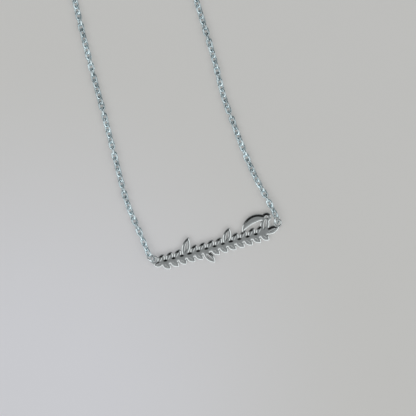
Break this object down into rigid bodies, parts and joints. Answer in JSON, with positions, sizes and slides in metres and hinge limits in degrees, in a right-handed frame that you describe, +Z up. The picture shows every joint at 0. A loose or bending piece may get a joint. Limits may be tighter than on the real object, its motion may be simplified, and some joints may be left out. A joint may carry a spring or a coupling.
{
  "type": "nameplate necklace",
  "caption": "Flat metal bar plate cut as a leafy branch with a curling tendril, on a fine link chain that closes in a whole loop with a spring ring clasp; it lies flat.",
  "frame": {"origin": "on the surface the necklace lies on, below the middle of the loop's bounding box", "axes": "+X along the nameplate, from its left ear to its right one; +Y up the loop, from the nameplate to the clasp; +Z up, out of the nameplate's face"},
  "size_m": [0.0408, 0.2123, 0.0033],
  "materials": {
    "plate_metal": "polished stainless steel, flat face with two fine facets and a rounded rim",
    "ring_metal": "polished stainless steel wire",
    "chain_metal": "polished stainless steel links",
    "clasp_metal": "polished stainless steel"
  },
  "bodies": {
    "root": {"pendant": "plate_metal", "jump_ring_left": "ring_metal", "jump_ring_right": "ring_metal", "chain_left": "chain_metal", "chain_right": "chain_metal", "clasp_jump_ring": "ring_metal", "clasp": "clasp_metal", "catch_ring": "ring_metal"}
  },
  "joints": []
}
